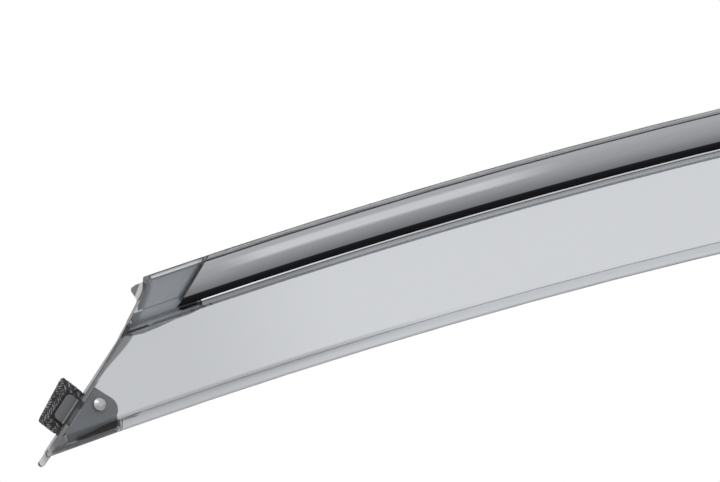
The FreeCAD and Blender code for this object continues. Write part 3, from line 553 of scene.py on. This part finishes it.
@dataclass(frozen=True)
class ReleaseFilm(Finish):
    """Thin pale film over the adhesive, with a few long creases."""

    pale: Colour = (0.72, 0.73, 0.735)
    shaded: Colour = (0.62, 0.63, 0.64)

    def dress(self, shade: Shading, surface: bpy.types.Node, place: Socket) -> None:
        """Runs shallow creases along the film."""
        arch = shade.group(SharedEffects.ARCH, Place=place)
        drawn = shade.node("VectorMath", operation="MULTIPLY")
        shade.feed(drawn.inputs[0], arch.outputs["Unrolled"])
        drawn.inputs[1].default_value = (14.0, 1.0, 160.0)
        crease = shade.noise(drawn.outputs[0], 1.0, 4.0)
        share = shade.spread(crease, 0.3, 0.7, 0.0, 1.0)
        tone = shade.blend(share, (*self.shaded, 1.0), (*self.pale, 1.0))
        shade.feed(surface.inputs["Base Color"], tone)
        shade.feed(surface.inputs["Roughness"], shade.spread(crease, 0.3, 0.7, 0.22, 0.36))
        shade.feed(surface.inputs["Normal"], shade.bump(crease, 0.35, 0.15 * MM))
        surface.inputs["Coat Weight"].default_value = 0.3


@dataclass(frozen=True)
class PlainMetal(Finish):
    """A metal with a worked grain, a cloudy tone and fine scratches.

    Outside the rear end, where no smoke covers it, the tone is multiplied by the level given for that part,
    so a pale tone under the smoke is painted light that makes up for the light the smoke holds back.
    """

    light: Colour
    dark: Colour
    grain: Grain = Grain.CAST
    smooth: float = 0.32
    rough: float = 0.48
    metallic: float = 1.0
    relief: float = 0.25
    level_outside_smoke: float = 1.0
    border: tuple[float, float] = (-0.6 * MM, 0.2 * MM)

    def dress(self, shade: Shading, surface: bpy.types.Node, place: Socket) -> None:
        """Mixes the two tones by the grain and roughens the clouds."""
        grain = shade.group(SharedEffects.GRAIN, Place=place, Stretch=self.grain.value)
        share = shade.sum(Maths.TIMES, grain.outputs["Scratches"], grain.outputs["Clouds"])
        share = shade.spread(share, 0.1, 0.4, 0.0, 1.0)
        metal = shade.blend(share, (*self.dark, 1.0), (*self.light, 1.0))
        rear = shade.group(SharedEffects.RULERS, Place=place).outputs[Ruler.REAR.name]
        # lit and shaded copies of one tone: as given under the smoke, multiplied down outside it
        covered = shade.spread(rear, *self.border, self.level_outside_smoke, 1.0)
        shade.feed(surface.inputs["Base Color"], shade.darken(metal, covered))
        shade.feed(surface.inputs["Roughness"],
                   shade.spread(grain.outputs["Clouds"], 0.3, 0.7, self.smooth, self.rough))
        shade.feed(surface.inputs["Normal"], shade.bump(grain.outputs["Scratches"], self.relief, 0.03 * MM))
        surface.inputs["Metallic"].default_value = self.metallic


@dataclass(frozen=True)
class Sponge(Finish):
    """Black-grey sponge, paler on its zigzag ridges, with painted shade in its furrows."""

    furrow_shade: Colour = (0.016, 0.016, 0.018)
    body: Colour = (0.10, 0.101, 0.105)
    ridge: Colour = (0.33, 0.33, 0.34)
    cells: float = 1500.0
    relief_name: str = "relief"

    def dress(self, shade: Shading, surface: bpy.types.Node, place: Socket) -> None:
        """Colours the piece by its own relief, then breaks the surface up into open cells."""
        relief = shade.node("Attribute", attribute_name=self.relief_name).outputs["Fac"]
        pores = shade.group(SharedEffects.PORES, Place=place, Scale=self.cells)
        fleck = shade.spread(shade.noise(place, 900.0, 4.0), 0.35, 0.65, -0.07, 0.07)
        height = shade.sum(Maths.ADD, relief, fleck)
        # near black in the furrows and round the foot of the clip's tongue: painted shade; paler on the
        # ridges
        stops = [(0.0, self.furrow_shade), (0.2, self.furrow_shade), (0.5, self.body), (0.85, self.ridge)]
        tone = shade.ramp(height, stops)
        shade.feed(surface.inputs["Base Color"], tone)
        shade.feed(surface.inputs["Roughness"], shade.spread(pores.outputs["Shade"], 0.0, 1.0, 0.95, 0.72))
        shade.feed(surface.inputs["Normal"], shade.bump(pores.outputs["Height"], 0.35, 0.15 * MM))


SMOKE = SmokedAcrylic("visor_smoke")
TRIM = BrightTrim("satin_trim")
TAPE = FoamTape("tape_foam")
FILM = ReleaseFilm("tape_film")
# the clip's pale tones are painted light under the smoke; outside the smoke they are multiplied down to 0.21
CLIP = PlainMetal("clip_metal", light=(0.74, 0.76, 0.78), dark=(0.66, 0.675, 0.695), metallic=0.1, level_outside_smoke=0.21)
RIVET = PlainMetal("rivet_aluminium", light=(0.52, 0.525, 0.53), dark=(0.42, 0.425, 0.43),
                   grain=Grain.TURNED, smooth=0.3, rough=0.42, relief=0.15)
SPONGE = Sponge("pad_sponge")


def dress_node(name: str, finish: Finish) -> None:
    """Gives a CAD piece its finish.

    Args:
        name: the CAD node.
        finish: the finish that it gets.
    """
    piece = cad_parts[name]
    piece.data.materials.clear()
    piece.data.materials.append(finish.make())
    log.info("%s wears %s", name, finish.name)


@dataclass
class VisorBody:
    """The smoked moulding with the tapes and the film on its flange."""

    shell: str = "visor_shell"
    tapes: tuple[str, ...] = ("mounting_tape", "rear_tape")
    film: str = "tape_liner"

    def build(self) -> None:
        """Dresses the moulding and what sticks to its back."""
        dress_node(self.shell, SMOKE)
        for tape in self.tapes:
            dress_node(tape, TAPE)
        dress_node(self.film, FILM)


@dataclass
class TrimAssembly:
    """The stainless strip in its seat and the foam tape behind it."""

    strip: str = "trim_strip"
    tape: str = "trim_tape"

    def build(self) -> None:
        """Dresses the strip and its tape."""
        dress_node(self.strip, TRIM)
        dress_node(self.tape, TAPE)


@dataclass
class ClipAssembly:
    """The riveted end clip and the sponge pad on its tongue. Lengths are in millimetres."""

    start: float = 42.0
    end: float = 68.5
    out_high: float = 12.8
    out_low: float = 10.6
    root: float = -1.0
    back: float = -0.2
    front: float = -3.05
    step: float = 0.26
    squareness: float = 14.0
    edge_round: float = 0.5
    ridge_depth: float = 0.34
    row: float = 3.3
    pitch: float = 1.7
    seed: int = 11
    tongue: tuple[float, float, float] = (47.5, 62.5, 6.0)
    groove: float = 0.8
    waves: int = 14
    rates: tuple[float, float] = (0.5, 2.6)
    bend: float = 0.07
    patch: tuple[float, float] = (0.85, 0.5)

    def outline(self) -> np.ndarray:
        """Walks once round a square of half side 1 and rounds its corners.

        Each point (a, b) of the square is divided by the n-th root of |a|^n + |b|^n, which
        turns the square into a superellipse.

        Returns:
            An array of (a, b) places, in order.
        """
        sides = 2 * (self.end - self.start) + 2 * (self.out_high - self.root)
        count = int(sides / self.step / 4) * 4
        walk = np.arange(count) * 4.0 / count
        side = np.floor(walk).astype(int)
        share = 2.0 * (walk - side) - 1.0
        ones = np.ones_like(share)
        a = np.choose(side, [share, ones, -share, -ones])
        b = np.choose(side, [-ones, share, ones, -share])
        size = (np.abs(a) ** self.squareness + np.abs(b) ** self.squareness) ** (1 / self.squareness)
        return np.stack([a / size, b / size], axis=1)

    def profile(self) -> np.ndarray:
        """Gives the pad's half section from the middle of its back to the middle of its front.

        Returns:
            Rows of (share of the outline, depth share, how much of the relief shows).
        """
        rings = int((self.out_high - self.root) / 2 / self.step)
        thick = self.back - self.front
        corner = self.edge_round / 8.0
        turn = np.linspace(0.0, pi / 2, 6)
        face = np.linspace(0.0, 1.0 - corner, rings)[1:-1]
        side = np.linspace(0.0, 1.0, int(thick / self.step))[1:-1]
        edge = self.edge_round / thick
        back_face = np.stack([face, 0 * face, 0.4 * np.ones_like(face)], axis=1)
        rounded = 1 - corner + corner * np.sin(turn)
        back_turn = np.stack([rounded, edge * (1 - np.cos(turn)), 0.6 + 0 * turn], axis=1)
        wall = np.stack([1 + 0 * side, edge + side * (1 - 2 * edge), 0.8 + 0 * side], axis=1)
        front_turn = back_turn[::-1] * [1, -1, 1] + [0, 1, 0.4]
        front_face = np.stack([face[::-1], 1 + 0 * face, np.ones_like(face)], axis=1)
        return np.concatenate([back_face, back_turn, wall, front_turn, front_face])

    def relief(self, along: np.ndarray, out: np.ndarray) -> np.ndarray:
        """Herringbone ridges: slanted waves whose lean flips from one row to the next.

        The height is the sine of (along plus or minus out) over the pitch, bent by slow seeded
        waves so that no two ridges are alike, and pinched at the border of each row.

        Args:
            along: distances along the rear end, in millimetres.
            out: distances out from it, in millimetres.

        Returns:
            Heights between 0 and 1.
        """
        draws = np.random.default_rng(self.seed)
        bend = np.zeros_like(along)
        for _ in range(self.waves):
            turn, phase = draws.uniform(0, 2 * pi, 2)
            rate = draws.uniform(*self.rates)
            bend += np.sin(rate * (along * cos(turn) + out * sin(turn)) + phase)
        bend *= self.bend
        across = out + 0.5 * bend
        row = np.floor(across / self.row)
        lean = np.where(row % 2 == 0, 1.0, -1.0)
        within = across / self.row - row
        ridges = along + lean * out * 1.1 + bend * 1.6 + row * 0.37
        wave = 0.5 + 0.5 * np.sin(2 * pi * ridges / self.pitch)
        pinch = np.clip(np.minimum(within, 1 - within) * 5.0, 0.0, 1.0)
        level, swing = self.patch
        patch = np.clip(level + swing * np.sin(bend * 9.0), 0.5, 1.0)
        return np.clip(wave ** 0.8 * (0.35 + 0.65 * pinch) * patch + 0.1 * bend, 0.0, 1.0)

    def pressed(self, along: np.ndarray, out: np.ndarray) -> np.ndarray:
        """Gives 1 at the foot of the clip's tongue and 0 from the groove's width away.

        The distance is the length of what along and out reach past the tongue's rectangle.
        """
        near, far, reach = self.tongue
        past = np.maximum(np.maximum(near - along, along - far), 0.0)
        gap = np.hypot(past, np.maximum(out - reach, 0.0))
        return np.clip(1.5 - gap / self.groove, 0.0, 1.0)

    def place(self, a: np.ndarray, b: np.ndarray) -> tuple[np.ndarray, np.ndarray]:
        """Maps the square's (a, b) to distances along the rear end and out from it."""
        along = self.start + (a + 1) / 2 * (self.end - self.start)
        tip = self.out_high + (a + 1) / 2 * (self.out_low - self.out_high)
        return along, self.root + (b + 1) / 2 * (tip - self.root)

    def pad_mesh(self) -> bpy.types.Mesh:
        """Sweeps the half section round the outline and presses the ridges into it.

        A vertex is the outline's point scaled by the section's first number. Its depth goes
        from back to front by the second, and the relief moves it inwards by the third.

        Returns:
            A closed mesh with its relief in a point attribute.
        """
        ring, rows = self.outline(), self.profile()
        scale, depth, show = (rows[:, i][:, None] for i in range(3))
        a, b = scale * ring[:, 0], scale * ring[:, 1]
        along, out = self.place(a, b)
        # the pressed groove round the tongue's foot sinks the sponge and, through the relief, paints shade
        # there
        level = self.relief(along + 3.0 * (1 - depth), out) * (1 - self.pressed(along, out) * (depth > 0.9))
        sunk = (1 - level) * self.ridge_depth * show
        wall = (scale > 0.999) | ((depth > 0.01) & (depth < 0.99))
        pull = np.where(wall, 1 - sunk / 9.0, 1.0)
        along, out = self.place(a * pull, b * pull)
        y = self.back + depth * (self.front - self.back)
        y = np.where(depth > 0.99, y + sunk, np.where(depth < 0.01, y - 0.4 * sunk, y + 0 * sunk))
        lean = radians(LINES.slope_below)
        x = LINES.knee[0] - along * cos(lean) - out * sin(lean)
        z = LINES.knee[1] - along * sin(lean) + out * cos(lean)
        points = np.stack([x, y, z], axis=-1).reshape(-1, 3)
        count, width = a.shape
        cells = np.arange(count * width).reshape(count, width)
        right = np.roll(cells, -1, axis=1)
        faces = np.stack([cells[:-1], cells[1:], right[1:], right[:-1]], axis=-1).reshape(-1, 4).tolist()
        ends = np.stack([points[:width].mean(axis=0), points[-width:].mean(axis=0)])
        first = count * width
        faces += np.stack([right[0], np.full(width, first), cells[0]], axis=-1).tolist()
        faces += np.stack([cells[-1], np.full(width, first + 1), right[-1]], axis=-1).tolist()
        mesh = bpy.data.meshes.new("sponge_pad")
        mesh.from_pydata((np.concatenate([points, ends]) * MM).tolist(), [], faces)
        # the relief is scaled down on the back and the walls, which paints shade on the pad's sides
        levels = np.concatenate([(level * (0.5 + 0.5 * show)).ravel(), [0.5, 0.5]]).astype(np.float32)
        mesh.attributes.new(SPONGE.relief_name, "FLOAT", "POINT").data.foreach_set("value", levels)
        mesh.shade_smooth()
        mesh.update()
        return mesh

    def build(self) -> None:
        """Dresses the clip and the rivet, and puts the sponge in the place of its solid."""
        dress_node("end_clip", CLIP)
        dress_node("clip_rivet", RIVET)
        pad = bpy.data.objects.new("sponge_pad", self.pad_mesh())
        bpy.context.scene.collection.objects.link(pad)
        pad.data.materials.append(SPONGE.make())
        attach(pad, "root")
        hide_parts("clip_pad")
        log.info("sponge_pad: %d faces", len(pad.data.polygons))


@dataclass(frozen=True)
class Softbox:
    """A square studio lamp: where it stands, what it faces, its size and its power."""

    name: str
    place: tuple[float, float, float]
    wide: float
    high: float
    power: float

    def build(self, target: Vector) -> None:
        """Hangs the lamp and turns it to the target."""
        lamp = bpy.data.lights.new(self.name, "AREA")
        lamp.shape = "RECTANGLE"
        lamp.size, lamp.size_y, lamp.energy = self.wide, self.high, self.power
        holder = bpy.data.objects.new(self.name, lamp)
        holder.location = self.place
        holder.rotation_euler = (target - Vector(self.place)).to_track_quat("-Z", "Y").to_euler()
        bpy.context.scene.collection.objects.link(holder)


@dataclass
class Studio:
    """Floor, world, lamps and the camera at the photograph's angle. Lengths are in metres."""

    target: tuple[float, float, float] = (-0.21966, -0.008, -0.01421)
    right: tuple[float, float, float] = (0.8862, -0.3746, -0.2726)
    up: tuple[float, float, float] = (0.2131, -0.1928, 0.9578)
    back: tuple[float, float, float] = (-0.4113, -0.9069, -0.0910)
    distance: float = 8.0
    view_width: float = 0.36
    sensor: float = 36.0
    clip: tuple[float, float] = (0.1, 300.0)
    floor_level: float = -1.3
    floor_half: float = 30.0
    ambient: float = 0.78
    lamps: tuple[Softbox, ...] = (
        Softbox("key", (-0.9, -1.5, 1.7), 1.4, 1.0, 9.0),
    )

    def build_camera(self) -> None:
        """Stands the camera off the target so that the picture's width covers view_width."""
        data = bpy.data.cameras.new("camera")
        data.sensor_width = self.sensor
        data.lens = self.sensor * self.distance / self.view_width
        data.clip_start, data.clip_end = self.clip
        camera = bpy.data.objects.new("camera", data)
        turn = Matrix((self.right, self.up, self.back)).transposed()
        camera.matrix_world = Matrix.LocRotScale(
            Vector(self.target) + self.distance * Vector(self.back), turn.to_quaternion(), None)
        bpy.context.scene.collection.objects.link(camera)
        bpy.context.scene.camera = camera

    def build_world(self) -> None:
        """Shows plain white to the eye, to gloss and through the smoke, and lights the rest softly."""
        world = bpy.data.worlds.new("studio")
        world.use_nodes = True
        bpy.context.scene.world = world
        shade = Shading(world.node_tree)
        path = shade.node("LightPath")
        seen = shade.sum(Maths.LARGER, path.outputs["Is Camera Ray"], path.outputs["Is Glossy Ray"])
        seen = shade.sum(Maths.LARGER, seen, path.outputs["Is Transmission Ray"])
        strength = shade.sum(Maths.ADD, shade.sum(Maths.TIMES, seen, 1.0 - self.ambient), self.ambient)
        ground = world.node_tree.nodes["Background"]
        ground.inputs["Color"].default_value = (1.0, 1.0, 1.0, 1.0)
        shade.feed(ground.inputs["Strength"], strength)

    def build_floor(self) -> None:
        """Lays a plain pale floor with a faint unevenness."""
        mesh = bpy.data.meshes.new("floor")
        half = self.floor_half
        corners = np.array([(-1, -1), (1, -1), (1, 1), (-1, 1)]) * half
        points = np.column_stack([corners, np.full(4, self.floor_level)])
        mesh.from_pydata(points.tolist(), [], [(0, 1, 2, 3)])
        floor = bpy.data.objects.new("floor", mesh)
        bpy.context.scene.collection.objects.link(floor)
        material = bpy.data.materials.new("floor_paper")
        material.use_nodes = True
        shade = Shading(material.node_tree)
        surface = material.node_tree.nodes["Principled BSDF"]
        cloud = shade.noise(shade.node("TexCoord").outputs["Object"], 2.0, 2.0)
        shade.feed(surface.inputs["Base Color"],
                   shade.blend(cloud, (0.80, 0.80, 0.80, 1.0), (0.83, 0.83, 0.83, 1.0)))
        surface.inputs["Roughness"].default_value = 0.9
        mesh.materials.append(material)

    def build(self) -> None:
        """Sets up everything round the object."""
        self.build_camera()
        self.build_world()
        self.build_floor()
        for lamp in self.lamps:
            lamp.build(Vector(self.target))
        bpy.context.scene.view_settings.view_transform = "Standard"
        log.info("studio: %d lamps", len(self.lamps))


def main() -> None:
    """Builds the finishes, the sub-assemblies and the studio in order."""
    logging.basicConfig(level=logging.INFO, format="%(message)s")
    SharedEffects(LINES).build()
    for part in (VisorBody(), TrimAssembly(), ClipAssembly(), Studio()):
        part.build()


if __name__ == "__main__":
    main()
